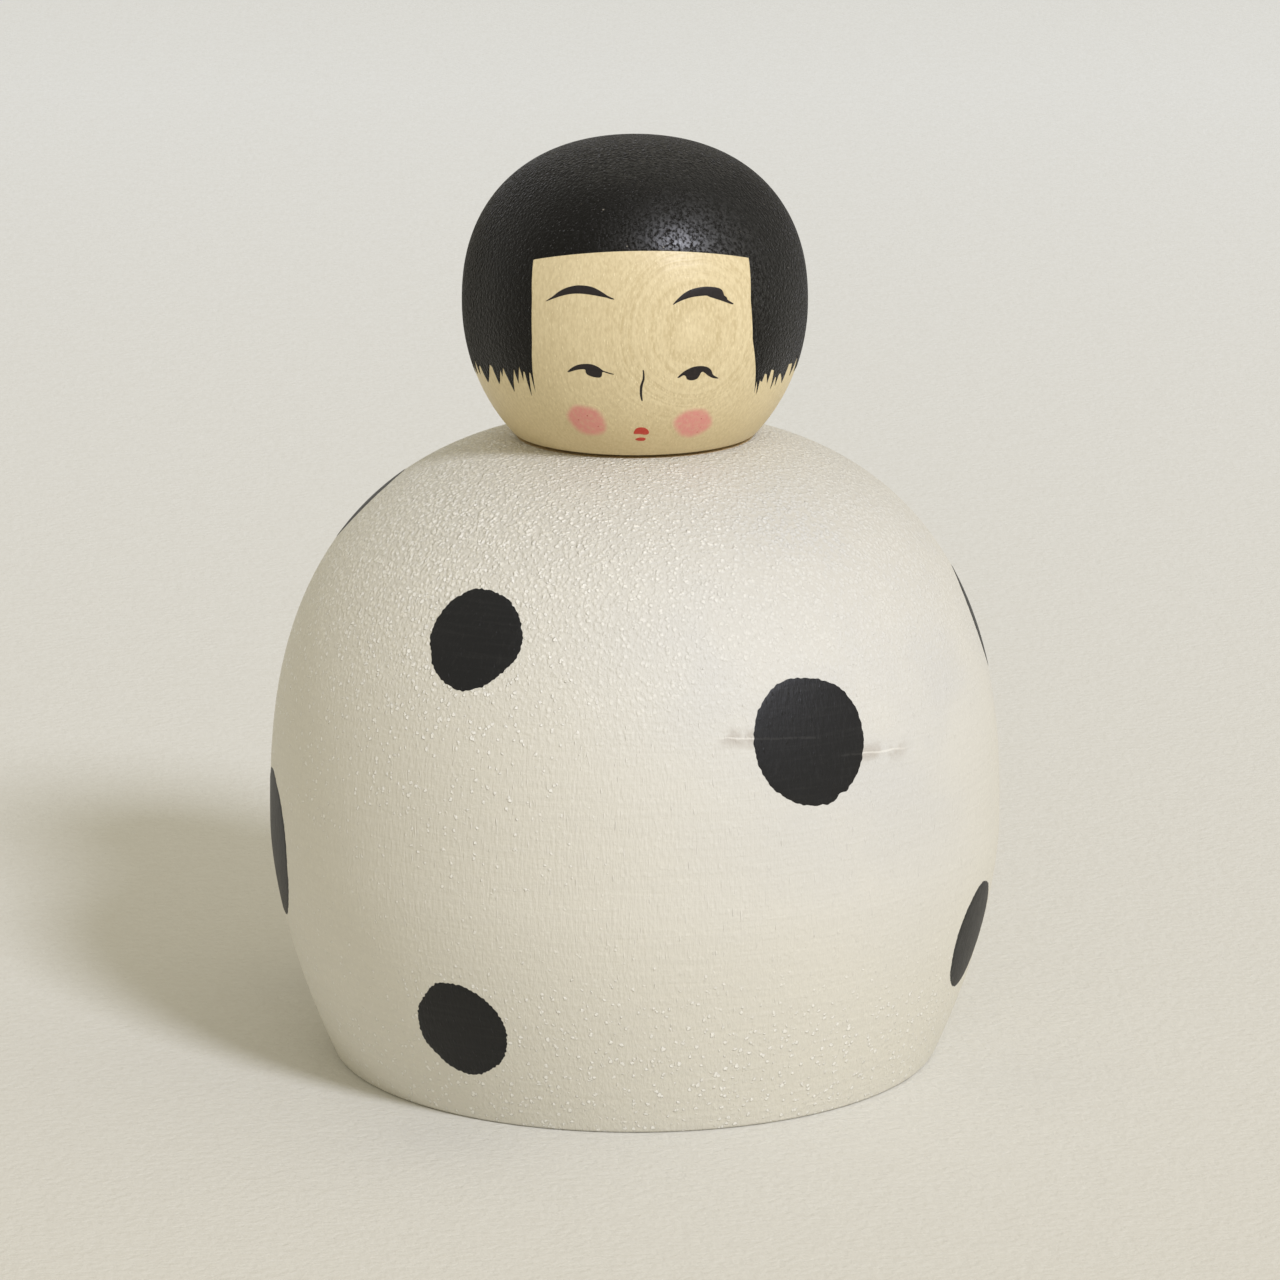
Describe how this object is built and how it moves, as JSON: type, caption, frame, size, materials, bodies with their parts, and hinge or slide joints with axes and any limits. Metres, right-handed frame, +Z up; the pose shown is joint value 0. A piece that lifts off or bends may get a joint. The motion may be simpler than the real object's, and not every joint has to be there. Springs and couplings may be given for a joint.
{
  "type": "kokeshi doll",
  "caption": "Turned wooden kokeshi doll: a rounded white body with black polka dots and a small head with a black bob, which turns on a neck peg.",
  "frame": {"origin": "centre of the flat base, on the doll's upright axis", "axes": "+Z up along the turning axis of the body and the head; the painted face looks along -Y, so +X is to the right of a viewer who faces the doll"},
  "size_m": [0.0714, 0.0714, 0.09],
  "materials": {
    "white_painted_wood": "thin satin white paint over turned wood, with brushed black dots",
    "pale_wood": "burnished pale wood, with the hair and the face brushed on in black, red and pink",
    "peg_wood": "plain turned wood"
  },
  "bodies": {
    "body": {"body": "white_painted_wood"},
    "head": {"head": "pale_wood", "neck_peg": "peg_wood"}
  },
  "joints": [
    {"name": "head_turn", "type": "hinge", "parent": "body", "child": "head", "pos_m": [0, 0, 0.0615], "axis": [0, 0, 1], "continuous": true}
  ]
}
